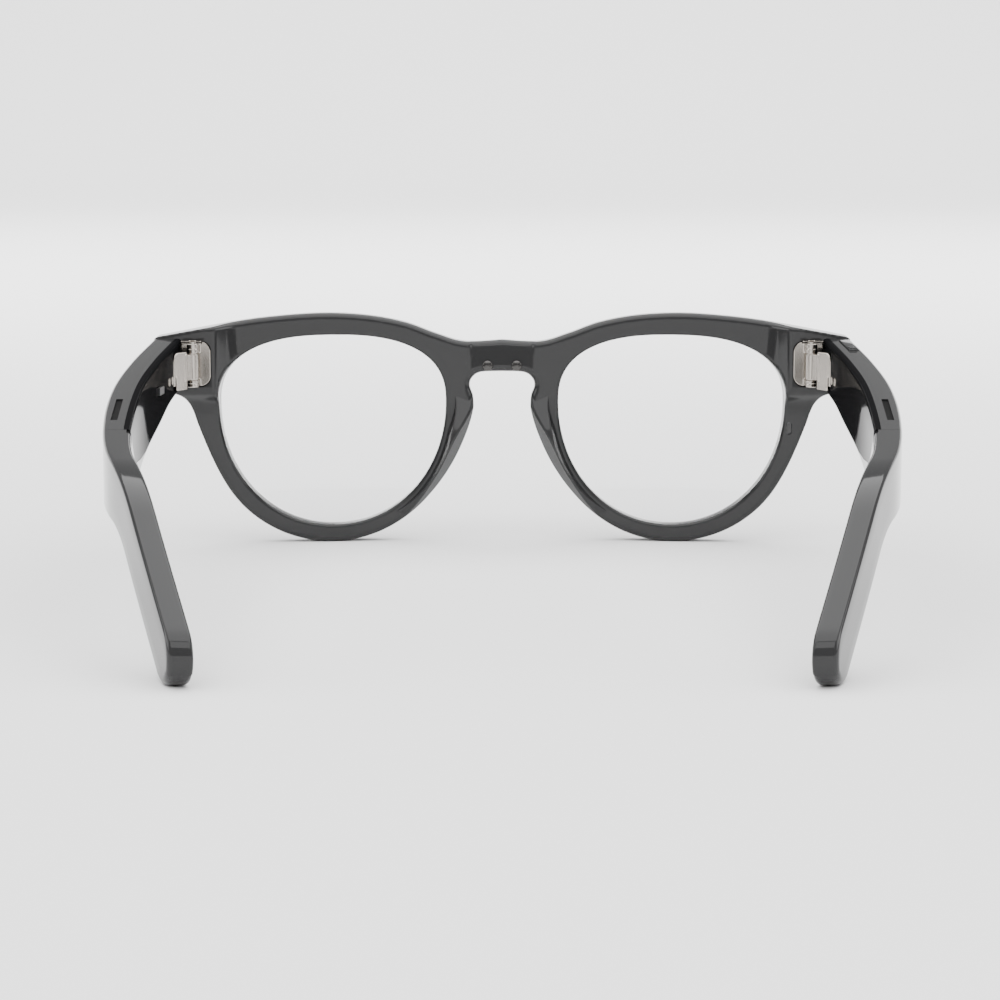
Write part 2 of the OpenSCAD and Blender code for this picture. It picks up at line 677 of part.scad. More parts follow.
module outer_shell() difference() {
    arm_body();
    hollow();
    cover_zone();
    rear_zone();
    speaker_slot(0);
    for (s = mic_s) mic_port(s);
}
module rear_arm() difference() {
    intersection() {
        arm_body();
        rear_zone();
    }
    vent();
}
module mic_port(s) at_top(s, arm_t / 2)
    translate([0, 0, -arm_high(s) - past]) cylinder(h = wall + 2 * past, r = port_r);
module inner_cover() difference() {
    intersection() {
        arm_body();
        union() {
            cover_zone();
            hinge_boss();
        }
    }
    difference() {
        hollow();
        hinge_boss();
    }
    leaf_strip(leaf_gap);
    foot_place() foot_holes(0, foot_t + boss_t + past, screw_r);
}
slot_s = (speaker_s[0] + speaker_s[1]) / 2;
slot_in = 2.35;
module speaker_slot(trim) at_top(slot_s, slot_in)
    rotate([0, 0, -slope_at(top_pt(slot_s)[0])])
        box([-slot_w / 2 + trim, -slot_l / 2 + trim, -wall - past],
            [slot_w / 2 - trim, slot_l / 2 - trim, past]);

grille_sink = 0.4;
grille_t = 0.4;
grille_past = 2;
module grille() intersection() {
    speaker_slot(0);
    arm_block(speaker_s[0] - grille_past, speaker_s[1] + grille_past, grille_sink, grille_sink + grille_t,
        0, 0, true);
}
module speaker() arm_block(speaker_s[0], speaker_s[1], wall + 0.1, wall + 1.4, wall + flex_t, wall + 0.3);
mic_half = [0.9, 1.1];
mic_lift = 0.25;
mic_tall = 1;
module microphones() for (s = mic_s) at_top(s, arm_t / 2)
    translate([0, 0, -arm_high(s) + wall])
        box([-mic_half[0], -mic_half[1], mic_lift], [mic_half[0], mic_half[1], mic_lift + mic_tall]);
module temple_flex() arm_block(flex_s[0], flex_s[1], wall + flex_top, wall + flex_top + flex_w, wall,
    wall + flex_t, true, true);

module outer_shell_left() place() color(frame_grey) outer_shell();
module outer_shell_right() place() color(frame_grey) other_side() difference() {
    outer_shell();
    button_place() {
        box([-button_w / 2 - gap, -button_l / 2 - gap, -wall - gap],
            [button_w / 2 + gap, button_l / 2 + gap, past]);
        box([-button_w / 2 - gap, -button_l / 2 - button_lip - gap, -button_room],
            [button_w / 2 + gap, button_l / 2 + button_lip + gap, -wall]);
    }
}
module rear_arm_left() place() color(frame_grey) rear_arm();
module rear_arm_right() place() color(frame_grey) other_side() rear_arm();
module inner_cover_left() place() color(cover_grey) difference() {
    inner_cover();
    slider_place() box([-past, -slider_l / 2 - slider_slack, -slider_h / 2 - slider_slack],
        [wall + past, slider_l / 2 + slider_travel + slider_slack, slider_h / 2 + slider_slack]);
}
module inner_cover_right() place() color(cover_grey) other_side() inner_cover();
module hinge_leaf_left() place() color(nickel) hinge_leaf();
module hinge_leaf_right() place() color(nickel) other_side() hinge_leaf();
module leaf_screws_left() place() color(nickel) leaf_screws();
module leaf_screws_right() place() color(nickel) other_side() leaf_screws();
module speaker_left() place() color(dark) speaker();
module speaker_right() place() color(dark) other_side() speaker();
module speaker_grille_left() place() color(dark) grille();
module speaker_grille_right() place() color(dark) other_side() grille();
module microphones_left() place() color(nickel) microphones();
module microphones_right() place() color(nickel) other_side() microphones();
module flex_left() place() color(amber) temple_flex();
module flex_right() place() color(amber) other_side() temple_flex();
module battery() place() color([0.2, 0.3, 0.5])
    arm_block(battery_s[0], battery_s[1], wall + 0.4, wall + 1, wall + flex_t, wall + 0.5);

// Power slider on the left temple's inner face, and the switch behind it
slider_h = 1.6;
slider_proud = 0.45;
slider_slack = 0.1;
slider_foot_t = 0.6;
slider_foot_past = [0.6, 0.5];
slider_y = top_pt(slider_s)[0];
slider_z = top_pt(slider_s)[1] - 6;
module slider_place() at_inner(slider_y, slider_z) children();
module power_slider() place() color(dark) slider_place() {
    box([-slider_proud, -slider_l / 2, -slider_h / 2], [wall + 0.2, slider_l / 2, slider_h / 2]);
    box([wall + 0.15, -slider_l / 2 - slider_foot_past[0], -slider_h / 2 - slider_foot_past[1]],
        [wall + slider_foot_t, slider_l / 2 + slider_foot_past[0], slider_h / 2 + slider_foot_past[1]]);
}
module power_switch_body() place() color(nickel) slider_place()
    box([wall + 0.8, -slider_l / 2 - 1, -2],
        [arm_t - wall - flex_t - 0.4, slider_l / 2 + slider_travel + 1, 2]);

// Main board, its shield, touch pad and antenna in the right temple
module main_board() place() color(board_green) other_side()
    arm_block(board_s[0], board_s[1], wall + 2, wall + 1, wall + flex_t, wall + flex_t + board_t,
        false, true);
module shield_can() place() color(nickel) other_side()
    arm_block(board_s[0] + 3, board_s[1] - 3, wall + 3, wall + 2, wall + flex_t + board_t, wall + 0.5);
module touch_sensor() place() color(amber) other_side()
    arm_block(board_s[0] + 1, board_s[1] - 1, wall + 2, wall + 1.2, wall, wall + flex_t, false, true);
module antenna() place() color(gold) other_side()
    arm_block(speaker_s[0], speaker_s[1], wall + 2, wall + 1.4, wall, wall + flex_t, false, true);

// Capture button in the right temple's top, and the switch under it
button_in = 2;
button_proud = 0.35;
// The button's ends run under the shell and hold it in
button_lip = 0.4;
button_low = wall + 0.5;
button_room = button_low + button_travel + gap;
switch_depth = 1.5;
module button_place() at_top(button_s + button_l / 2, button_in)
    rotate([0, 0, -slope_at(top_pt(button_s)[0])]) children();
module capture_button() place() color(frame_grey) other_side() button_place() {
    translate([0, 0, -wall - gap - 0.1]) linear_extrude(wall + gap + 0.1 + button_proud)
        rounded(button_w, button_l, 0.4);
    box([-button_w / 2, -button_l / 2 - button_lip, -button_low],
        [button_w / 2, button_l / 2 + button_lip, -wall - gap]);
}
module capture_switch() place() color(dark) other_side() button_place()
    box([-0.9, -1.5, -button_room - switch_depth], [0.4, 1.5, -button_room]);

front_shell();
rear_shell();
lens_left();
lens_right();
nose_pad_left();
nose_pad_right();
camera_window();
camera_bezel();
camera_module();
led_window();
led_bezel();
led_module();
charging_contacts();
bridge_microphone();
front_flex();
status_window();
status_led();
hinge_plate_left();
hinge_plate_right();
hinge_plate_screws_left();
hinge_plate_screws_right();
hinge_pin_left();
hinge_pin_right();
outer_shell_left();
inner_cover_left();
rear_arm_left();
hinge_leaf_left();
leaf_screws_left();
speaker_left();
speaker_grille_left();
microphones_left();
battery();
flex_left();
power_switch_body();
power_slider();
outer_shell_right();
inner_cover_right();
rear_arm_right();
hinge_leaf_right();
leaf_screws_right();
speaker_right();
speaker_grille_right();
microphones_right();
main_board();
shield_can();
touch_sensor();
antenna();
flex_right();
capture_switch();
capture_button();
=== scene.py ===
"""Smart glasses on a pale table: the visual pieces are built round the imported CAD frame.

Lengths in the builders are millimetres: x to the wearer's left, y back from the bridge, z up.
"""
import json
import math

import bmesh
import bpy
import numpy as np
import openvdb
from mathutils import Matrix, Vector


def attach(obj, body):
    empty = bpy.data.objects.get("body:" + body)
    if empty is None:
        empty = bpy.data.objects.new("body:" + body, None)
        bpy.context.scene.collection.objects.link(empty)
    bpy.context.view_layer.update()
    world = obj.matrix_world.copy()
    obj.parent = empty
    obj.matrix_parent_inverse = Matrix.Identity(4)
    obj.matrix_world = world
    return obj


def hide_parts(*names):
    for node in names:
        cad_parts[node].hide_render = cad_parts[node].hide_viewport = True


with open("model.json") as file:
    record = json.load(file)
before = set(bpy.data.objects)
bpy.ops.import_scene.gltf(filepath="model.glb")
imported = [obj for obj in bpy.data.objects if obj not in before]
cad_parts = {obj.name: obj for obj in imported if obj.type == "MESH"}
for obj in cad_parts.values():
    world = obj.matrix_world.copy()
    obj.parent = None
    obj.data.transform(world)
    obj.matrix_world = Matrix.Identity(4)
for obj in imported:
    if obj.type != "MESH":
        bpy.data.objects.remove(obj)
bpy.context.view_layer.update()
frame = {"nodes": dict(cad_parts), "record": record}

# ---------------------------------------------------------------- sizes shared with the CAD
# the frame's y = 0, seen from the bridge
MID_Y = 73.9225
# the lens opening: its widest level, width, and reach above and below that level
EYE_X, WIDE_Z, EYE_W, EYE_UP, EYE_DOWN = 36.5, 30.65, 48.6, 14.5, 26.9
# the front: radius of its wrap, half its thickness, its side and the back of the endpieces
WRAP_R, HALF_T, SIDE_X, END_Y = 420.0, 2.2, 74.3, 10.5
BROW_Z, BRIDGE_Z, KEYHOLE_Z, END_Z, END_LOW = 49.85, 43.85, 37.05, 45.25, 34.05
RIM_W, NASAL_W, TEMPORAL_W, NOSE_W, KEYHOLE_W = 3.75, 6.1, 5.6, 12.2, 14.0
# the hinges: their axis, and the plate on the endpiece
AXIS_X, AXIS_Y = 65.7, 13.0
PLATE_X, PLATE_Z, PLATE_HALF_W, PLATE_HALF_H, PLATE_CORNER = 65.6, 39.65, 3.4, 4.8, 2.2
# the temples: s runs along the upper edge, with the bend from TEMPLE_LEN to BEND_S
ARM_Y, ARM_Z, DROOP, TEMPLE_LEN, BEND_R, TIP_ANGLE = 10.6, 45.05, 7.5, 95.0, 45.0, 33.0
BEND_S, ARM_S, TIP_R, ARM_END, TIP_IN = 115.028, 143.785, 5.5, 150.045, 18.9
SEAM_S, WALL, COVER_T = 75.0, 1.1, 1.3
# the camera and light windows, the status light, the charging contacts and the nose pads
POD_X, POD_Z, BEZEL_Y = 68.0, 39.75, 2.641
LIGHT_X, LIGHT_Z, LIGHT_Y = 61.8159, 25.25, 6.7737
CONTACT_Z, PAD_H = 38.35, 3.4


def spline(points, n=16):
    """A smooth curve through the points, with n steps from one to the next."""
    p = np.array(points, float)
    out = []
    for i in range(len(p) - 1):
        a, b, c, d = p[max(i - 1, 0)], p[i], p[i + 1], p[min(i + 2, len(p) - 1)]
        t = (np.arange(n) / n)[:, None]
        out.append(0.5 * (2 * b + (c - a) * t + (2 * a - 5 * b + 4 * c - d) * t * t
                          + (3 * b - a - 3 * c + d) * t**3))
    return np.vstack(out + [p[-1:]])


def eye_pt(a):
    """The edge of the lens opening at angle a, from 0 at its outer side."""
    a = np.radians(np.asarray(a, float))
    up = np.sin(a) >= 0
    n, h = np.where(up, 2.5, 2.06), np.where(up, EYE_UP, EYE_DOWN)

    def power(v):
        return np.sign(v) * np.abs(v) ** (2 / n)

    return np.stack([EYE_X + EYE_W / 2 * power(np.cos(a)), WIDE_Z + h * power(np.sin(a))], -1)


def eye_off(a, w):
    """The point w outside the lens opening at angle a."""
    d = eye_pt(np.asarray(a) + 0.5) - eye_pt(np.asarray(a) - 0.5)
    normal = np.stack([d[..., 1], -d[..., 0]], -1) / np.linalg.norm(d, axis=-1)[..., None]
    return eye_pt(a) + np.asarray(w)[..., None] * normal


RIM = spline([[176, NASAL_W], [182, NASAL_W], [198, RIM_W + 0.36 * (NASAL_W - RIM_W)], [215, RIM_W - 0.15],
              [232, RIM_W - 0.4], [270, RIM_W], [310, RIM_W + 0.15], [333, RIM_W - 0.05],
              [346, RIM_W + 0.25 * (TEMPORAL_W - RIM_W)], [358, TEMPORAL_W]])


def rim_pt(a):
    return eye_off(a, np.interp(a, RIM[:, 0], RIM[:, 1]))


def corner(before, point, after, r, n=8):
    """An arc in place of a sharp corner."""
    point = np.array(point, float)
    u, v = np.array(before, float) - point, np.array(after, float) - point
    u, v = u / np.linalg.norm(u), v / np.linalg.norm(v)
    half = math.acos(np.clip(u @ v, -1, 1)) / 2
    run, far = r / math.tan(half), r / math.sin(half)
    mid = point + far * (u + v) / np.linalg.norm(u + v)
    a, b = point + run * u - mid, point + run * v - mid
    turn = math.pi - 2 * half
    out = []
    for k in range(n + 1):
        t = k / n
        out.append(mid + (math.sin((1 - t) * turn) * a + math.sin(t * turn) * b) / math.sin(turn))
    return np.array(out)


def half_front():
    """The outline of the front for x >= 0, from the bridge over the brow to the keyhole."""
    marks = [[-0.91, 4.5], [-0.64, 2.1], [-0.31, 0.55], [0.07, 0], [0.47, 0.5], [0.88, 1.7]]
    brow = spline([[0, BRIDGE_Z], [NOSE_W / 2 + 2, BRIDGE_Z - 0.3]]
                  + [[EYE_X + p[0] * EYE_W / 2, BROW_Z - p[1]] for p in marks] + [[SIDE_X, END_Z]])
    flare = spline([[SIDE_X, END_LOW], [SIDE_X - 4.9, END_LOW - 1.2], [SIDE_X - 7, END_LOW - 3],
                    rim_pt(356.0)])
    hole = spline([rim_pt(182.0), [NOSE_W / 2 + 0.2, KEYHOLE_Z - 5.3], [KEYHOLE_W / 2, KEYHOLE_Z - 3.1],
                   [KEYHOLE_W / 2 - 0.5, KEYHOLE_Z - 1.4], [KEYHOLE_W / 2 - 2.4, KEYHOLE_Z - 0.2],
                   [0, KEYHOLE_Z]])
    rim = rim_pt(np.arange(355.0, 182.5, -1.0))
    top = corner(brow[-2], [SIDE_X, END_Z], [SIDE_X, END_LOW], 1.1)
    low = corner([SIDE_X, END_Z], [SIDE_X, END_LOW], flare[3], 1.1)
    brow = brow[brow[:, 0] < top[0, 0] - 0.05]
    flare = flare[flare[:, 0] < low[-1, 0] - 0.05]
    return np.vstack([brow, top, low, flare[:-1], rim, hole])


# ---------------------------------------------------------------- signed distances
def polygon_distance(x, z, pts, closed):
    """Signed distance from points to a polygon, negative inside."""
    best = np.full(x.shape, 1e9, np.float32)
    inside = np.zeros(x.shape, bool)
    ends = np.roll(pts, -1, 0)
    for i, (a, b) in enumerate(zip(pts, ends)):
        crossing = (a[1] > z) != (b[1] > z)
        if a[1] != b[1]:
            inside ^= crossing & (x < (b[0] - a[0]) * (z - a[1]) / (b[1] - a[1]) + a[0])
        if not closed and i == len(pts) - 1:
            continue
        e = b - a
        px, pz = x - a[0], z - a[1]
        t = np.clip((px * e[0] + pz * e[1]) / max(e @ e, 1e-12), 0, 1)
        np.minimum(best, (px - t * e[0]) ** 2 + (pz - t * e[1]) ** 2, out=best)
    best = np.sqrt(best)
    return np.where(inside, -best, best)


class Field:
    """Signed distance of an outline, kept on a fine grid for x >= 0."""

    def __init__(self, pts, closed, low=(-1.0, -3.0), high=(78.0, 54.0), step=0.125):
        self.low, self.step = low, step
        xs = np.arange(low[0], high[0], step, dtype=np.float32)
        zs = np.arange(low[1], high[1], step, dtype=np.float32)
        gx, gz = np.meshgrid(xs, zs, indexing="ij")
        self.values = polygon_distance(np.abs(gx), gz, pts.astype(np.float32), closed)

    def __call__(self, x, z):
        u = np.clip((x - self.low[0]) / self.step, 0, self.values.shape[0] - 1.001)
        v = np.clip((z - self.low[1]) / self.step, 0, self.values.shape[1] - 1.001)
        i, j = u.astype(int), v.astype(int)
        fu, fv = u - i, v - j
        g = self.values
        return ((g[i, j] * (1 - fu) + g[i + 1, j] * fu) * (1 - fv)
                + (g[i, j + 1] * (1 - fu) + g[i + 1, j + 1] * fu) * fv)


def both(a, b, r):
    """Intersection with its edge rounded to r."""
    u, v = np.maximum(a + r, 0), np.maximum(b + r, 0)
    return np.minimum(np.maximum(a, b) + r, 0) + np.hypot(u, v) - r


def either(a, b, k):
    """Union with a fillet of about k."""
    h = np.clip(0.5 + 0.5 * (b - a) / k, 0, 1)
    return b * (1 - h) + a * h - k * h * (1 - h)


def smooth(x, a, b):
    """Rises from 0 at a to 1 at b."""
    t = np.clip((x - a) / (b - a), 0, 1)
    return t * t * (3 - 2 * t)


def round_box(u, v, hu, hv, r):
    """Signed distance of a rectangle of half sizes hu and hv with corners of radius r."""
    qu, qv = np.abs(u) - hu + r, np.abs(v) - hv + r
    return np.hypot(np.maximum(qu, 0), np.maximum(qv, 0)) + np.minimum(np.maximum(qu, qv), 0) - r


# ---------------------------------------------------------------- meshes
def make(name, verts, faces, material=None):
    """A mesh object from design millimetres."""
    v = np.array(verts, float)
    v[:, 1] -= MID_Y
    mesh = bpy.data.meshes.new(name)
    mesh.from_pydata((v * 0.001).tolist(), [], [tuple(int(i) for i in f) for f in faces])
    mesh.validate()
    obj = bpy.data.objects.new(name, mesh)
    bpy.context.scene.collection.objects.link(obj)
    if material:
        mesh.materials.append(material)
    return obj


def volume_of(v, quads):
    """Signed volume, which tells which way the quads face."""
    a, b, c, d = (v[quads[:, i]] for i in range(4))
    one = np.einsum("ij,ij->i", a, np.cross(b, c)).sum()
    return (one + np.einsum("ij,ij->i", a, np.cross(c, d)).sum()) / 6


def voxel_mesh(name, sdf, low, high, step, material):
    """The zero surface of sdf, with its vertices moved onto the exact surface."""
    axes = [np.arange(low[i], high[i] + step, step) for i in range(3)]
    values = np.empty([len(a) for a in axes], np.float32)
    gy, gz = np.meshgrid(axes[1], axes[2], indexing="ij")
    for k in range(0, len(axes[0]), 16):
        xs = axes[0][k:k + 16]
        gx = np.broadcast_to(xs[:, None, None], (len(xs), *gy.shape))
        values[k:k + 16] = sdf(gx, np.broadcast_to(gy, gx.shape), np.broadcast_to(gz, gx.shape))
    grid = openvdb.FloatGrid(9.0)
    grid.copyFromArray(values / step)
    points, quads = grid.convertToQuads(0.0)
    p = np.array(points, float) * step + np.array([a[0] for a in axes])
    quads = np.array(quads, int)
    probe, rounds = 0.03, 4
    for _ in range(rounds):
        f = sdf(*p.T)
        steps = probe * np.eye(3)
        g = np.stack([(sdf(*(p + e).T) - sdf(*(p - e).T)) / (2 * probe) for e in steps], -1)
        move = -(f / np.maximum((g * g).sum(1), 0.2))[:, None] * g
        size = np.linalg.norm(move, axis=1)
        p += move * np.minimum(1, 0.5 * step / np.maximum(size, 1e-9))[:, None]
    if volume_of(p, quads) < 0:
        quads = quads[:, ::-1]
    obj = make(name, p, quads, material)
    soften(obj, 40)
    return obj


def soften(obj, angle=35):
    """Smooth shading with sharp edges above an angle."""
    obj.data.shade_smooth()
    obj.data.set_sharp_from_angle(angle=math.radians(angle))


def rings(loops):
    """Faces over loops of equal length; the first and last loop are capped."""
    n = len(loops[0])
    verts = np.vstack(loops)
    faces = [(i * n + j, i * n + (j + 1) % n, (i + 1) * n + (j + 1) % n, (i + 1) * n + j)
             for i in range(len(loops) - 1) for j in range(n)]
    faces += [tuple(range(n))[::-1], tuple(range((len(loops) - 1) * n, len(loops) * n))]
    return verts, faces


def tidy(obj, merge=0.002):
    """Merges vertices that are closer than merge millimetres and turns all faces outwards."""
    bm = bmesh.new()
    bm.from_mesh(obj.data)
    bmesh.ops.remove_doubles(bm, verts=bm.verts, dist=merge * 0.001)
    bmesh.ops.recalc_face_normals(bm, faces=bm.faces)
    bm.to_mesh(obj.data)
    bm.free()
    return obj


def lathe(name, profile, centre, material, axis="y", n=64):
    """A closed (radius, along) profile turned about an axis through centre."""
    p = np.array(profile, float)
    loops = []
    for turn in np.linspace(0, 2 * math.pi, n, endpoint=False):
        u, v = p[:, 0] * math.cos(turn), p[:, 0] * math.sin(turn)
        if axis == "y":
            cols = [centre[0] + u, p[:, 1], centre[2] + v]
        else:
            cols = [centre[0] + u, centre[1] + v, p[:, 1]]
        loops.append(np.stack(cols, -1))
    m = len(profile)
    verts = np.vstack(loops)
    faces = [(i * m + j, i * m + (j + 1) % m, ((i + 1) % n) * m + (j + 1) % m, ((i + 1) % n) * m + j)
             for i in range(n) for j in range(m)]
    obj = tidy(make(name, verts, faces, material))
    soften(obj)
    return obj


def prism(name, outline, low, high, axis):
    """A straight prism from an outline in the two other axes."""
    pts = np.array(outline, float)
    order = {"x": (2, 0, 1), "y": (0, 2, 1), "z": (0, 1, 2)}[axis]
    loops = []
    for level in (low, high):
        three = np.column_stack([pts, np.full(len(pts), level)])
        loops.append(three[:, list(order)])
    return tidy(make(name, *rings(loops)))


def block(name, low, high):
    """A box from its lowest corner to its highest."""
    (a, b, c), (d, e, f) = low, high
    return prism(name, [[a, b], [d, b], [d, e], [a, e]], c, f, "z")


def bake(obj):
    """Puts the result of the modifiers into the mesh."""
    graph = bpy.context.evaluated_depsgraph_get()
    mesh = bpy.data.meshes.new_from_object(obj.evaluated_get(graph))
    obj.modifiers.clear()
    obj.data = mesh
    return obj


def boolean(obj, cutters, operation="DIFFERENCE"):
    """Cuts obj by the cutters, or keeps what lies in them."""
    for c in cutters:
        m = obj.modifiers.new("cut", "BOOLEAN")
        m.operation, m.object, m.solver = operation, c, "EXACT"
    return bake(obj)


def rounded_bar(low, high, r):
    """A block with rounded edges on all sides."""
    obj = block("bar", low, high)
    m = obj.modifiers.new("round", "BEVEL")
    m.width, m.segments, m.limit_method = r * 0.001, 3, "NONE"
    return bake(obj)


def copy_of(obj, name):
    """A second object with its own mesh."""
    new = obj.copy()
    new.data = obj.data.copy()
    new.name = name
    bpy.context.scene.collection.objects.link(new)
    return new


def flip(obj):
    """Mirror to the wearer's right."""
    obj.data.transform(Matrix.Scale(-1, 4, (1, 0, 0)))
    obj.data.flip_normals()
    return obj


def join(name, objs):
    """One piece from several, under the first one's material."""
    bm = bmesh.new()
    for o in objs:
        bm.from_mesh(o.data)
    bm.to_mesh(objs[0].data)
    bm.free()
    objs[0].name = name
    drop(*objs[1:])
    soften(objs[0])
    return objs[0]


def drop(*objs):
    """Deletes helpers."""
    for o in objs:
        bpy.data.objects.remove(o)


# ---------------------------------------------------------------- materials
def material(name, base, rough, metal=0.0, grain=400.0, spread=0.03, bump=0.0, spec=0.5,
             transmission=0.0, stretch=None):
    """A principled material whose roughness varies by spread over a fine noise."""
    m = bpy.data.materials.new(name)
    m.use_nodes = True
    t = m.node_tree
    s = t.nodes["Principled BSDF"]
    s.inputs["Base Color"].default_value = (*base, 1)
    s.inputs["Metallic"].default_value = metal
    s.inputs["Specular IOR Level"].default_value = spec
    s.inputs["Transmission Weight"].default_value = transmission
    s.inputs["IOR"].default_value = 1.5
    where = t.nodes.new("ShaderNodeTexCoord")
    place = t.nodes.new("ShaderNodeMapping")
    if stretch:
        place.inputs["Scale"].default_value = stretch
    noise = t.nodes.new("ShaderNodeTexNoise")
    noise.inputs["Scale"].default_value = grain
    noise.inputs["Detail"].default_value = 3.0
    ramp = t.nodes.new("ShaderNodeMapRange")
    ramp.inputs["To Min"].default_value = max(rough - spread, 0.0)
    ramp.inputs["To Max"].default_value = rough + spread
    t.links.new(where.outputs["Object"], place.inputs["Vector"])
    t.links.new(place.outputs["Vector"], noise.inputs["Vector"])
    t.links.new(noise.outputs["Fac"], ramp.inputs["Value"])
    t.links.new(ramp.outputs["Result"], s.inputs["Roughness"])
    if bump:
        b = t.nodes.new("ShaderNodeBump")
        b.inputs["Strength"].default_value = bump
        b.inputs["Distance"].default_value = 0.00005
        t.links.new(noise.outputs["Fac"], b.inputs["Height"])
        t.links.new(b.outputs["Normal"], s.inputs["Normal"])
    return m


MAT = {
    "front_plastic": material("front_plastic", (0.021, 0.021, 0.0215), 0.08, grain=90, spread=0.015,
                              spec=0.27),
    "cover_plastic": material("cover_plastic", (0.006, 0.006, 0.0065), 0.05, grain=90, spread=0.01,
                              spec=0.002),
    "lens_clear": material("lens_clear", (0.965, 0.968, 0.972), 0.0, transmission=1.0, spread=0.0),
    "window_glass": material("window_glass", (0.1, 0.1, 0.11), 0.01, transmission=1.0, spread=0.005),
    "bezel_metal": material("bezel_metal", (0.03, 0.03, 0.032), 0.22, metal=0.6, grain=900),
    "hinge_metal": material("hinge_metal", (0.4, 0.37, 0.335), 0.2, metal=1.0, grain=500, spread=0.05,
                            bump=0.05, stretch=(1, 1, 0.15)),
    "screw_steel": material("screw_steel", (0.6, 0.56, 0.52), 0.2, metal=1.0, grain=900, spread=0.05),
    "contact_metal": material("contact_metal", (0.07, 0.068, 0.066), 0.25, metal=1.0, grain=900),
    "grille_metal": material("grille_metal", (0.012, 0.012, 0.012), 0.6, spec=0.02, grain=3000, bump=0.5),
    "module_black": material("module_black", (0.018, 0.018, 0.019), 0.4, grain=1500, bump=0.1),
    "can_metal": material("can_metal", (0.55, 0.55, 0.55), 0.3, metal=1.0, grain=900),
    "led_epoxy": material("led_epoxy", (0.85, 0.8, 0.68), 0.3, grain=900),
    "flex_film": material("flex_film", (0.5, 0.25, 0.06), 0.35, grain=700),
    "battery_foil": material("battery_foil", (0.35, 0.4, 0.5), 0.3, metal=0.9, grain=300, bump=0.2),
    "board_laminate": material("board_laminate", (0.02, 0.12, 0.06), 0.4, grain=1200, bump=0.1),
    "antenna_metal": material("antenna_metal", (0.7, 0.48, 0.25), 0.25, metal=1.0, grain=900),
}

SLOT_OF = {s["node"]: s["material_slot"] for s in frame["record"]["subparts"]}
for node, obj in frame["nodes"].items():
    obj.data.materials.clear()
    obj.data.materials.append(MAT[SLOT_OF[node]])


def paint(obj, slot):
    """Gives a piece one material in place of what it has."""
    obj.data.materials.clear()
    obj.data.materials.append(MAT[slot])


def finish_piece(obj, body, slot, *nodes):
    """Hands a piece to the frame: its body, the nodes that it replaces and its material slot."""
    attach(obj, body)
    if nodes:
        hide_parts(*nodes)
    return obj


# ---------------------------------------------------------------- front
OUT = Field(half_front(), closed=False)
EYE = Field(eye_pt(np.arange(0, 360, 1.5)), closed=True)


LEAN_Z, CURVE_Z = 36.9, 40.6
BLOCK_IN, BLOCK_LOW, SLANT = 61.3, 33.45, (0.742, 0.671)
RIM_ROUND, END_ROUND, HOLE_ROUND, EYE_ROUND = 1.05, 0.3, 0.35, 0.55


def front_sdf(x, y, z):
    """The wrapped slab of the front with its endpieces, rounded at its edges."""
    x = np.abs(x)
    out, eye = OUT(x, z), EYE(x, z)
    d = WRAP_R - np.hypot(x, WRAP_R - y)
    # the back of the bridge leans forwards towards its top
    up, high = np.maximum(z - LEAN_Z, 0), np.maximum(z - CURVE_Z, 0)
    lean = (0.085 * up + 0.02 * high * high) * (1 - smooth(x, 6.2, 7.2))
    slab = np.abs(d) - HALF_T + lean * (d > 0)
    # the endpiece stands behind the rim on slanted sides
    inner = SLANT[0] * (BLOCK_IN - x) + SLANT[1] * (y - END_Y)
    lower = SLANT[0] * (BLOCK_LOW - z) + SLANT[1] * (y - END_Y)
    thick = np.maximum(both(both(y - END_Y, inner, 0.5), lower, 0.8), -d)
    layer = either(slab, thick, 1.6)
    at_end = smooth(x, 59.0, 65.0) * smooth(y, 3.0, 7.0)
    in_hole = smooth(-x, -9.5, -7.5) * smooth(z, 27.0, 30.0) * smooth(-z, -42.0, -40.0) * (d > 0)
    r = RIM_ROUND * (1 - at_end) + END_ROUND * at_end + HOLE_ROUND * in_hole
    body = both(out, layer, r)
    return both(body, -eye, EYE_ROUND)


front_step = 0.33
front = voxel_mesh("front_frame", front_sdf, (-75.9 - front_step / 2, -3.6, -1.2), (75.9, 12.0, 51.6),
                   front_step, MAT["front_plastic"])


def plate_outline(grow):
    """The hinge plate's outline in (x, z), grown on all sides."""
    n, r, hw, hh = 8, PLATE_CORNER + grow, PLATE_HALF_W + grow, PLATE_HALF_H + grow
    pts = []
    for start, u, v in ((0, 1, 1), (90, -1, 1), (180, -1, -1), (270, 1, -1)):
        for k in range(n + 1):
            a = math.radians(start + 90 * k / n)
            pts.append([PLATE_X + u * (hw - r) + r * math.cos(a), PLATE_Z + v * (hh - r) + r * math.sin(a)])
    return pts


def circle(cx, cz, r, n=48):
    """Points round a circle."""
    a = np.linspace(0, 2 * math.pi, n, endpoint=False)
    return np.stack([cx + r * np.cos(a), cz + r * np.sin(a)], -1)


def front_cuts():
    """The pockets for a hinge plate, a window with its module, and a charging contact."""
    pod_low, pod_high = (POD_X - 3.9, BEZEL_Y + 2.5, POD_Z - 3.9), (POD_X + 3.9, 9.2, POD_Z + 3.9)
    return [prism("cut", plate_outline(0.22), END_Y - 1.0, END_Y + 1.5, "y"),
            prism("cut", circle(POD_X, POD_Z, 3.8), -4.0, BEZEL_Y + 2.6, "y"),
            block("cut", pod_low, pod_high),
            prism("cut", circle(2.9, CONTACT_Z, 0.93, 32), 1.2, 4.0, "y")]


def light_outline():
    """The status light's slot in (x, z): two half circles with a straight part between them."""
    r, straight = 0.6, 0.7
    pts = []
    for a in np.linspace(0, 2 * math.pi, 32, endpoint=False) + 0.01:
        end = straight if math.sin(a) > 0 else -straight
        pts.append([LIGHT_X + r * math.cos(a), LIGHT_Z + end + r * math.sin(a)])
    return pts


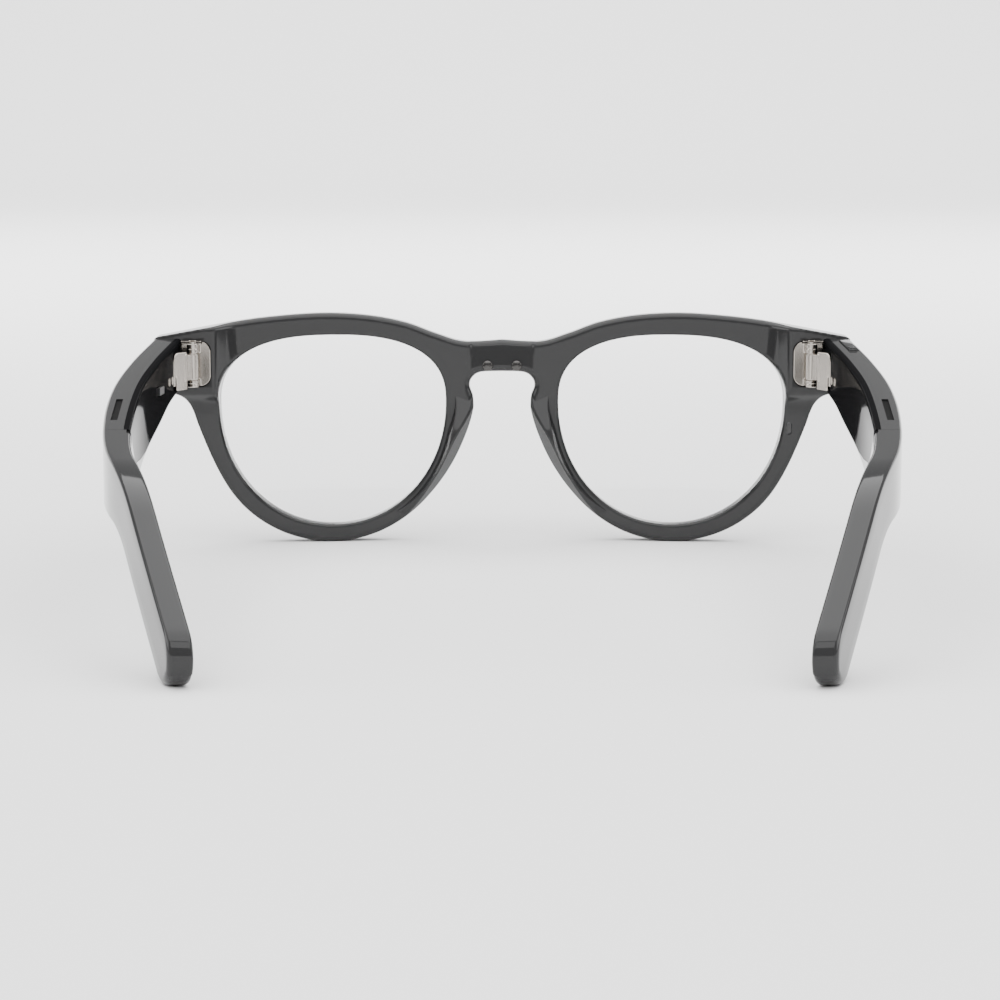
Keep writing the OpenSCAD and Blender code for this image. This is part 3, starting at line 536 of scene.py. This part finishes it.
cuts = front_cuts() + [flip(c) for c in front_cuts()]
cuts.append(flip(prism("cut", light_outline(), LIGHT_Y - 0.6, LIGHT_Y + 1.2, "y")))
boolean(front, cuts)
drop(*cuts)
soften(front, 38)
finish_piece(front, "front", "front_plastic", "front_shell", "rear_shell")
glass_pts = [[LIGHT_X + 0.95 * (px - LIGHT_X), LIGHT_Z + 0.98 * (pz - LIGHT_Z)] for px, pz in light_outline()]
light_glass = prism("status_window_piece", glass_pts, LIGHT_Y - 0.59, LIGHT_Y - 0.3, "y")
paint(light_glass, "window_glass")
finish_piece(flip(light_glass), "front", "window_glass", "status_window")


def pad_profile():
    """Height of a nose pad's crest over z, as (y, z) with z rising."""
    top, low = rim_pt(178.0)[1], rim_pt(238.0)[1]
    run = top - low
    p = spline([[0, top + 5.5], [HALF_T, top], [HALF_T + 0.45 * PAD_H, top - 0.15 * run],
                [HALF_T + 0.85 * PAD_H, top - 0.29 * run], [HALF_T + PAD_H, top - 0.42 * run],
                [HALF_T + 0.8 * PAD_H, top - 0.66 * run], [HALF_T + 0.1, low], [0.6, low - 1.2]])
    return p[::-1]


PAD = pad_profile()
FACE_SLOPE, NOSE_SLANT = 3.0, 0.58


def pad_sdf(x, y, z):
    """A wedge: a crest over z, a steep face to the lens and a slanted wall to the nose."""
    out, eye = OUT(x, z), EYE(x, z)
    crest = np.interp(z + 0.48 * (9.4 - x) * smooth(z, 20.0, 28.0), PAD[:, 1], PAD[:, 0])
    face = HALF_T + (eye - 0.95 - 1.1 * smooth(z, 23.0, 31.0)) * FACE_SLOPE
    nose = (out + 0.02 + NOSE_SLANT * np.maximum(y - 2.0, 0)) * 0.865
    # the factors bring the slanted faces back to true distances
    body = both((y - crest) * 0.93, (y - face) * 0.316, 0.22)
    return both(np.maximum(both(nose, body, 0.3), 0.9 - y), 4.0 - x, 0.1)


pad_step = 0.16
for side, name in ((1, "nose_pad_left"), (-1, "nose_pad_right")):
    pad = voxel_mesh(name + "_piece", pad_sdf, (4.5, 0.5, 2.0), (24.0, 6.6, 34.0), pad_step,
                     MAT["front_plastic"])
    finish_piece(pad if side > 0 else flip(pad), "front", "front_plastic", name)

DOME_R, DOME_Y, DOME_X = 1.15, 2.2, 3.15
DOME = [(0.0, 1.5), (DOME_R, 1.5), (DOME_R, DOME_Y - 0.1)]
DOME += [(DOME_R * math.cos(a), DOME_Y + 0.45 * math.sin(a)) for a in np.linspace(0, math.pi / 2, 9)]
domes = [lathe("dome", DOME, (x, 0, CONTACT_Z), MAT["contact_metal"], "y", 40) for x in (DOME_X, -DOME_X)]
contacts = join("charging_contacts_piece", domes)
finish_piece(contacts, "front", "contact_metal", "charging_contacts")

# ---------------------------------------------------------------- camera and light behind the windows
# profiles are (radius, y), with the glass's face at the front
CAMERA = [(0.0, 4.35), (0.75, 4.45), (1.0, 4.35), (1.0, 4.05), (1.45, 4.05), (1.6, 3.75), (2.0, 3.75),
          (2.1, 3.65), (2.4, 3.65), (2.4, 6.6), (0.0, 6.6)]
LED = [(0.0, 3.75), (0.9, 3.8), (1.4, 4.0), (1.4, 6.6), (0.0, 6.6)]
MODULE_HALF, MODULE_LOW, MODULE_HIGH = 3.75, 5.65, 9.05
for x, profile, node in ((POD_X, CAMERA, "camera_module"), (-POD_X, LED, "led_module")):
    barrel = lathe("barrel", profile, (x, 0, POD_Z), None, "y", 56)
    base = block("pod", (x - MODULE_HALF, MODULE_LOW, POD_Z - MODULE_HALF),
                 (x + MODULE_HALF, MODULE_HIGH, POD_Z + MODULE_HALF))
    pod = join(node + "_piece", [barrel, base])
    paint(pod, SLOT_OF[node])
    finish_piece(pod, "front", SLOT_OF[node], node)
WINDOW = [(0.0, 3.02), (1.6, 3.07), (2.7, 3.2), (3.05, 3.35), (3.05, 3.92), (0.0, 3.92)]
RING = [(2.62, 2.95), (2.75, 2.72), (3.5, 2.66), (3.75, 2.78), (3.78, 5.2), (3.1, 5.2), (3.1, 3.1),
        (2.62, 3.05)]
for x, word in ((POD_X, "camera"), (-POD_X, "led")):
    for profile, part in ((WINDOW, "window"), (RING, "bezel")):
        node = "%s_%s" % (word, part)
        piece = lathe(node + "_piece", profile, (x, 0, POD_Z), MAT[SLOT_OF[node]], "y", 72)
        finish_piece(piece, "front", SLOT_OF[node], node)

# ---------------------------------------------------------------- lenses
# each face is part of a sphere about LENS_C
LENS_C, FRONT_R, BACK_R, IN_GROOVE = (20.8571, 180.208, 24.45), 180.9, 179.1, 0.74


def lens_mesh(name):
    """A lens as rings from the middle of its front face, round its edge, to the middle of its back."""
    angles = np.arange(0, 360, 3.0)
    rim = eye_off(angles, IN_GROOVE * np.ones(len(angles)))
    centre = np.array([EYE_X, WIDE_Z - 6.0])
    shares = [0.02] + list(np.linspace(0.12, 1, 10))
    loops = []
    for r, order in ((FRONT_R, shares), (BACK_R, shares[::-1])):
        for t in order:
            p = centre + t * (rim - centre)
            y = LENS_C[1] - np.sqrt(r**2 - (p[:, 0] - LENS_C[0]) ** 2 - (p[:, 1] - LENS_C[2]) ** 2)
            loops.append(np.column_stack([p[:, 0], y, p[:, 1]]))
    return tidy(make(name, *rings(loops), MAT["lens_clear"]))


for side, name in ((1, "lens_left"), (-1, "lens_right")):
    lens = lens_mesh(name + "_piece")
    soften(lens, 40)
    finish_piece(lens if side > 0 else flip(lens), "front", "lens_clear", name)


# ---------------------------------------------------------------- temples
# the outer side in plan over y, the thickness over y and the height over s
ARM_PLAN = spline([[ARM_Y + p * (ARM_END - ARM_Y), SIDE_X + q] for p, q in
                   ((0, 0), (0.14, 2.1), (0.29, 3.0), (0.455, 1.71), (0.62, -0.09 * TIP_IN),
                    (0.774, -0.43 * TIP_IN), (1, -TIP_IN))])
ARM_THICK = spline([[ARM_Y - 5, 6.0], [ARM_Y + 50, 6.0], [ARM_Y + 75, 5.3], [ARM_Y + 100, 4.6],
                    [ARM_END + 5, 4.5]])
ARM_HIGH = spline([[0, 10.6], [12, 11.5], [22, 13.2], [34, 14.3], [46, 14.9], [58, 15.2], [70, 14.9],
                   [80, 13.8], [TEMPLE_LEN - 3, 12.3], [BEND_S - 6, 11.2], [ARM_S, 11.0]])
# (y, z) of the upper edge where the bend starts and ends, and of the middle of the round tip
BEND_FROM = np.array([104.787, 32.65])
BEND_TO = np.array([123.422, 25.7752])
TIP_MID = np.array([144.545, 5.5])


def out_x(y):
    """The outer side of the temple at y."""
    return np.interp(y, ARM_PLAN[:, 0], ARM_PLAN[:, 1])


def in_x(y):
    """The inner side of the temple at y."""
    return out_x(y) - np.interp(y, ARM_THICK[:, 0], ARM_THICK[:, 1])


def arm_angle(s):
    """Degrees below level of the upper edge at s."""
    return np.clip(DROOP + np.degrees((np.asarray(s, float) - TEMPLE_LEN) / BEND_R), DROOP, TIP_ANGLE)


def top_pt(s):
    """(y, z) of the upper edge at s."""
    s = np.asarray(s, float)
    a, d = np.radians(arm_angle(s)), math.radians(DROOP)
    line = np.stack([ARM_Y + s * math.cos(d), ARM_Z - s * math.sin(d)], -1)
    bend = BEND_FROM + BEND_R * np.stack([np.sin(a) - math.sin(d), np.cos(a) - math.cos(d)], -1)
    t = math.radians(TIP_ANGLE)
    tip = BEND_TO + (s[..., None] - BEND_S) * np.array([math.cos(t), -math.sin(t)])
    return np.where((s <= TEMPLE_LEN)[..., None], line, np.where((s <= BEND_S)[..., None], bend, tip))


def under(s, depth):
    """(y, z) at a depth below the upper edge, square to it."""
    a = np.radians(arm_angle(s))
    return top_pt(s) - np.asarray(depth)[..., None] * np.stack([np.sin(a), np.cos(a)], -1)


def arm_high(s):
    """Height of the temple at s."""
    return np.interp(s, ARM_HIGH[:, 0], ARM_HIGH[:, 1])


# edge radii: outer side above and below, inner side above and below
OUT_TOP_R, OUT_LOW_R, IN_TOP_R, IN_LOW_R = 0.85, 1.2, 0.8, 1.1


def temple_mesh(name):
    """The whole temple as one closed loft with rounded edges and a rounded tip."""
    s = np.concatenate([np.linspace(0, 14, 15), np.linspace(15.5, ARM_S, 110)])
    lift = s + 1.41 * np.clip(1 - s / 12, 0, 1)
    arc = np.radians(np.linspace(0, 90, 14)[1:])
    first = math.radians(90 - TIP_ANGLE)
    top_arc = TIP_MID + TIP_R * np.stack([np.cos(first - arc), np.sin(first - arc)], -1)
    low_arc = TIP_MID + TIP_R * np.stack([np.cos(first - math.pi + arc), np.sin(first - math.pi + arc)], -1)
    top = np.vstack([top_pt(s), top_arc])
    low = np.vstack([under(lift, arm_high(lift)), low_arc])
    outwards = np.array([math.cos(first - math.pi / 2), math.sin(first - math.pi / 2)])
    top[-1] = low[-1] = TIP_MID + TIP_R * outwards

    def inward(curve, sign):
        t = np.gradient(curve, axis=0)
        t /= np.linalg.norm(t, axis=1)[:, None]
        n = sign * np.stack([t[:, 1], -t[:, 0]], -1)
        n[-1] = -outwards
        return n

    n_top, n_low = inward(top, 1), inward(low, -1)
    phis = np.radians(np.linspace(0, 90, 7))
    loops = []
    for i in range(len(top)):
        ring = []

        def add(p, inset, outer):
            y = max(p[0], ARM_Y)
            x = out_x(y) - inset if outer else in_x(y) + inset
            ring.append((x, y, p[1]))

        def arc_points(edge, normal, r, outer, order):
            for phi in order:
                add(edge + r * (1 - math.cos(phi)) * normal, r * (1 - math.sin(phi)), outer)

        arc_points(top[i], n_top[i], OUT_TOP_R, True, phis)
        a, b = top[i] + OUT_TOP_R * n_top[i], low[i] + OUT_LOW_R * n_low[i]
        for k in (0.25, 0.5, 0.75):
            add(a + k * (b - a), 0, True)
        arc_points(low[i], n_low[i], OUT_LOW_R, True, phis[::-1])
        arc_points(low[i], n_low[i], IN_LOW_R, False, phis)
        a, b = low[i] + IN_LOW_R * n_low[i], top[i] + IN_TOP_R * n_top[i]
        for k in (0.25, 0.5, 0.75):
            add(a + k * (b - a), 0, False)
        arc_points(top[i], n_top[i], IN_TOP_R, False, phis[::-1])
        loops.append(np.array(ring))
    return tidy(make(name, *rings(loops)), 0.004)


def band(name, stations, tops, lows, far, near):
    """A volume over stations along the temple, between two depths and two insets from its inner side."""
    loops = []
    for s, a, b in zip(stations, tops, lows):
        ring = []
        for depth, w in ((a, far), (b, far), (b, near), (a, near)):
            y, z = under(float(s), float(depth))
            ring.append((in_x(y) + w, y, z))
        loops.append(np.array(ring))
    return tidy(make(name, *rings(loops)), 0.0001)


def cover_low(s):
    """Depth of the cover's lower edge; its rear end slants forwards."""
    end = [[41, arm_high(41.0) - WALL], [50, 0.84 * arm_high(50.0)], [62, 0.67 * arm_high(62.0)],
           [63.6, 0.635 * arm_high(63.6)], [64.6, 0.585 * arm_high(64.6)], [65.4, 0.53 * arm_high(65.4)],
           [SEAM_S, 0.0]]
    end = np.array(end, float)
    return np.where(s < 41, arm_high(s) - WALL, np.interp(s, end[:, 0], end[:, 1]))


def cover_zone(grow):
    """The volume that the inner cover takes from the temple."""
    s = np.concatenate([np.arange(-6, 41, 3.0),
                        [41, 45, 50, 56, 62, 63.6, 64.6, 65.4, 69, 73, SEAM_S + grow]])
    low = cover_low(np.minimum(s, SEAM_S)) + grow
    return band("zone", s, np.full(len(s), -3.0), np.maximum(low, 0.02), COVER_T + grow, -2.0)


def rear_zone(grow):
    """The volume of the temple behind the seam."""
    s = np.concatenate([[SEAM_S - grow], np.arange(78, ARM_S + 12, 3.0)])
    return band("zone", s, np.full(len(s), -3.0), arm_high(s) + 3, 9.0, -3.0)


def hollow():
    """The room inside the temple, a wall's thickness from every side."""
    s = np.linspace(4, 72, 24)
    loops = []
    for v in s:
        ring = []
        for depth, outer in ((WALL, 1), (arm_high(v) - WALL, 1), (arm_high(v) - WALL, 0), (WALL, 0)):
            y, z = under(v, depth)
            ring.append(((out_x(y) - WALL) if outer else (in_x(y) + WALL), y, z))
        loops.append(np.array(ring))
    return tidy(make("hollow", *rings(loops)), 0.0001)


def placed(obj, x, y, z, turn_z=0.0, turn_x=0.0):
    """Moves a piece built round the origin to a place on the temple (turns in degrees, as in the CAD)."""
    turn = (Matrix.Rotation(math.radians(turn_x), 4, "X")
            @ Matrix.Rotation(math.radians(turn_z), 4, "Z"))
    obj.data.transform(Matrix.Translation((0, MID_Y * 0.001, 0)))
    obj.data.transform(Matrix.Translation(Vector((x, y - MID_Y, z)) * 0.001) @ turn)
    return obj


# x, y, z and the turn about z of what sits in the outer or the upper side
SLOT_AT = (74.0264, 70.0867, 37.2184, 3.47328)
BUTTON_AT = (73.0702, 17.1435, 44.1885, -6.59084)
SLIDER_AT = (70.4515, 31.4203, 36.3089, -4.19375)
# the hinge leaf's seat in (x, y), and its lower and upper end
LEAF = [[67.3908, 14.653], [69.8067, 17.6024], [70.5223, 24.1318], [70.08, 24.18], [69.46, 18.46],
        [68.9612, 18.1482], [66.6172, 15.2867]]
LEAF_LOW, LEAF_HIGH, LEAF_SLACK = 34.65, 42.65, 0.05
MIC_STATIONS, VENT_W, VENT_DEPTH, SEAM_GAP = (18.5, 70.4), 0.8, 2.2, 0.045


def temple_cuts(side):
    """The hollow, speaker slot, microphone ports, leaf seat, vent and the opening of the switch."""
    cuts = [hollow(), placed(block("slot", (-0.65, -8, -2.0), (0.65, 8, 1.0)), *SLOT_AT, -DROOP)]
    for s in MIC_STATIONS:
        y, z = under(s, float(arm_high(s)))
        port = lathe("port", [(0, -1), (0.4, -1), (0.4, 2), (0, 2)], (0, 0, 0), None, "z", 24)
        cuts.append(placed(port, out_x(y) - 3, y, z, 0, -DROOP))
    cuts.append(prism("leaf", LEAF, LEAF_LOW - LEAF_SLACK, LEAF_HIGH + LEAF_SLACK, "z"))
    cuts.append(band("vent", [SEAM_S - 0.3, SEAM_S + 1, SEAM_S + 2.2], [-2] * 3, [VENT_DEPTH] * 3,
                     VENT_W, -2.0))
    if side > 0:
        cuts.append(placed(block("slide", (-1, -2.4, -0.9), (2.1, 4.4, 0.9)), *SLIDER_AT))
    else:
        cuts.append(placed(block("hole", (-1.2, -4.5, -1.2), (1.2, 4.5, 1.0)), *BUTTON_AT, -DROOP))
        cuts.append(placed(block("room", (-1.2, -4.9, -2.0), (1.2, 4.9, -1.1)), *BUTTON_AT, -DROOP))
    return cuts


for side, word in ((1, "left"), (-1, "right")):
    body = "temple_" + word
    base = temple_mesh("base")
    cuts = temple_cuts(side)
    boolean(base, cuts)
    zones = [cover_zone(-SEAM_GAP), cover_zone(SEAM_GAP), rear_zone(SEAM_GAP), rear_zone(-SEAM_GAP)]
    cover = boolean(copy_of(base, "inner_cover_%s_piece" % word), zones[:1], "INTERSECT")
    shell = boolean(copy_of(base, "outer_shell_%s_piece" % word), zones[1:3])
    rear = boolean(copy_of(base, "rear_arm_%s_piece" % word), zones[3:], "INTERSECT")
    # a step inside the seam keeps light out of it
    ends = np.array([SEAM_S - 0.6, SEAM_S + 0.6])
    liner = band("liner", ends, [0.5, 0.5], arm_high(ends) - 0.5, 4.8, 1.0)
    shell = join("outer_shell_%s_piece" % word, [shell, liner])
    drop(base, *zones, *cuts)
    for obj, slot, node in ((cover, "cover_plastic", "inner_cover_"),
                            (shell, "front_plastic", "outer_shell_"),
                            (rear, "front_plastic", "rear_arm_")):
        paint(obj, slot)
        tidy(obj, 0.0005)
        soften(obj, 32)
        finish_piece(obj if side > 0 else flip(obj), body, slot, node + word)

# the capture button: its body, the ridges on its top and the lip that holds it in
bars = [rounded_bar((-1.08, -4.38, -1.5), (1.08, 4.38, 0.35), 0.3)]
bars += [rounded_bar((-0.8, y, 0.2), (0.8, y + 0.42, 0.55), 0.12) for y in (2.3, 3.0, 3.7)]
bars.append(rounded_bar((-1.08, -4.75, -1.6), (1.08, 4.75, -1.2), 0.1))
button = join("capture_button_piece", [placed(b, *BUTTON_AT, -DROOP) for b in bars])
paint(button, SLOT_OF["capture_button"])
finish_piece(flip(button), "capture_button", SLOT_OF["capture_button"], "capture_button")

# ---------------------------------------------------------------- hinges
KNUCKLE_R, EDGE_R, PIN_R, HEAD_R, HEAD_Z = 1.2, 0.12, 0.6, 0.87, 44.5
FRONT_KNUCKLES, TEMPLE_KNUCKLE = ((34.95, 36.45), (42.15, 44.25)), (36.55, 42.05)
SCREW_X, SCREW_R, SCREW_LEVELS = 67.8, 0.86, (37.25, 42.05)


def from_axis(x, y):
    return np.hypot(x - AXIS_X, y - AXIS_Y)


def knuckle_sdf(x, y, z, low, high):
    """A cylinder about the hinge's axis."""
    return both(from_axis(x, y) - KNUCKLE_R, np.abs(z - (low + high) / 2) - (high - low) / 2, EDGE_R)


def plate_sdf(x, y, z):
    """The front's half of a hinge: a plate, two grooved knuckles on webs and a bracket."""
    outline = round_box(x - PLATE_X, z - PLATE_Z, PLATE_HALF_W, PLATE_HALF_H, PLATE_CORNER)
    body = both(outline, np.abs(y - 9.9) - 0.4, 0.14)
    for low, high in FRONT_KNUCKLES:
        middle, half = (low + high) / 2, (high - low) / 2
        groove = np.hypot(from_axis(x, y) - KNUCKLE_R - 0.02, z - middle) - 0.1
        knuckle = np.maximum(knuckle_sdf(x, y, z, low, high), -groove)
        web = both(both(np.abs(x - 65.25) - 0.75, np.abs(z - middle) - half, EDGE_R),
                   np.abs(y - 11.3) - 1.7, 0.05)
        body = np.minimum(either(body, web, 0.25), knuckle)
    for level in SCREW_LEVELS:
        body = np.maximum(body, -both(np.hypot(x - SCREW_X, z - level) - SCREW_R, 9.95 - y, 0.02))
    # a two-leaf bracket over the upper knuckle
    cap = round_box(x - 65.95, y - 12.0, 2.2, 1.75, 0.4)
    for level, half in ((44.72, 0.12), (44.2, 0.16)):
        body = np.minimum(body, both(cap, np.abs(z - level) - half, 0.05))
    return np.maximum(body, np.where(z < HEAD_Z, PIN_R, HEAD_R) - from_axis(x, y))


# the leaf in (x, y), just inside its seat, and the turn of its slanted part
LEAF_IN = np.array([[67.3521, 14.6847], [69.7667, 17.6935], [70.4668, 24.0821], [70.12, 24.12],
                    [69.5, 18.42], [69.0092, 18.128], [66.6559, 15.255]])
TURN = math.radians(50.6779)


def leaf_sdf(x, y, z):
    """The temple's half of a hinge: a bent strip with a lobe and a tongue, and one knuckle on a web."""
    flat = polygon_distance(x, y, LEAF_IN, True)
    # u runs along the slanted part and is 0 at its bend
    u = (x - 69.4) * math.cos(TURN) + (y - 17.9) * math.sin(TURN)
    lobe = round_box(u + 3.0, z - 40.0, 3.0, 2.65, 1.5)
    tongue = round_box(u + 3.2, z - 37.2, 2.55, 2.55, 0.5)
    foot = np.maximum(-0.5 - u, np.abs(z - 38.2) - 2.6)
    root = np.maximum(u + 2.4, np.abs(z - 38.65) - 4.0)
    outline = np.minimum(np.minimum(either(lobe, tongue, 0.3), foot), root)
    strip = both(flat, outline, 0.16)
    # a and b run along the web and across it
    a = (x - 65.8) * math.cos(TURN) + (y - 13.5) * math.sin(TURN)
    b = -(x - 65.8) * math.sin(TURN) + (y - 13.5) * math.cos(TURN)
    web = both(both(np.abs(a - 1.4) - 1.0, np.abs(b) - 0.4, 0.1), np.abs(z - 39.3) - 2.75, 0.12)
    body = np.minimum(either(strip, web, 0.3), knuckle_sdf(x, y, z, *TEMPLE_KNUCKLE))
    return np.maximum(body, PIN_R + 0.04 - from_axis(x, y))


hinge_step = 0.1
for side, word in ((1, "left"), (-1, "right")):
    plate = voxel_mesh("hinge_plate_%s_piece" % word, plate_sdf, (61.8, 9.2, 34.4), (69.6, 14.6, 45.1),
                       hinge_step, MAT["hinge_metal"])
    finish_piece(plate if side > 0 else flip(plate), "front", "hinge_metal", "hinge_plate_" + word)
    leaf = voxel_mesh("hinge_leaf_%s_piece" % word, leaf_sdf, (64.2, 11.5, 34.2), (71.0, 24.6, 43.1),
                      hinge_step, MAT["hinge_metal"])
    finish_piece(leaf if side > 0 else flip(leaf), "temple_" + word, "hinge_metal", "hinge_leaf_" + word)

# ---------------------------------------------------------------- stage
# metres from here on: the floor turns up into a low wall behind the glasses' front
RISE_Y, WALL_H = -1.6, 0.75
floor_mat = material("floor", (0.92, 0.92, 0.92), 0.75, grain=40, spread=0.05, spec=0.2)
bpy.ops.mesh.primitive_grid_add(x_subdivisions=40, y_subdivisions=60, size=1)
floor = bpy.context.object
floor.name = "backdrop"
floor.scale = (8, 8, 1)
floor.location = (0, -0.6, 0)
bpy.ops.object.transform_apply(location=True, rotation=False, scale=True)
for v in floor.data.vertices:
    if v.co.y < RISE_Y:
        past = RISE_Y - v.co.y
        v.co.z = min(past * past * 0.9, WALL_H)
floor.data.materials.append(floor_mat)
soften(floor, 80)

world = bpy.data.worlds.new("world")
bpy.context.scene.world = world
world.use_nodes = True
world.node_tree.nodes["Background"].inputs[0].default_value = (1, 1, 1, 1)
world.node_tree.nodes["Background"].inputs[1].default_value = 0.5


def area(name, where, to, size, power):
    """A rectangular lamp that faces a point."""
    data = bpy.data.lights.new(name, "AREA")
    data.shape = "RECTANGLE"
    data.size, data.size_y = size
    data.energy = power
    obj = bpy.data.objects.new(name, data)
    bpy.context.scene.collection.objects.link(obj)
    obj.location = where
    obj.rotation_mode = "QUATERNION"
    obj.rotation_quaternion = (Vector(to) - Vector(where)).to_track_quat("-Z", "Y")


area("top_softbox", (0, -0.05, 1.4), (0, -0.05, 0), (3.0, 2.4), 82)
area("back_softbox", (0, 1.3, 1.0), (0, 0, 0.03), (1.6, 0.6), 9)
area("wall_wash", (0, -0.7, 0.9), (0, -2.0, 0.0), (2.4, 0.5), 45)
area("side_left", (1.1, 0.1, 0.35), (0, 0, 0.03), (0.9, 0.5), 5)
area("side_right", (-1.1, 0.1, 0.35), (0, 0, 0.03), (0.9, 0.5), 5)

# the photograph's camera, level-headed and looking slightly down
CAMERA_TILT = 8.92
camera_data = bpy.data.cameras.new("camera")
camera_data.lens, camera_data.sensor_width = 99.1, 36
camera_data.clip_start, camera_data.clip_end = 0.01, 50
camera = bpy.data.objects.new("camera", camera_data)
bpy.context.scene.collection.objects.link(camera)
camera.location = (0.00044, 0.5211, 0.102)
camera.rotation_euler = (math.radians(90 - CAMERA_TILT), 0, math.radians(180))
bpy.context.scene.camera = camera
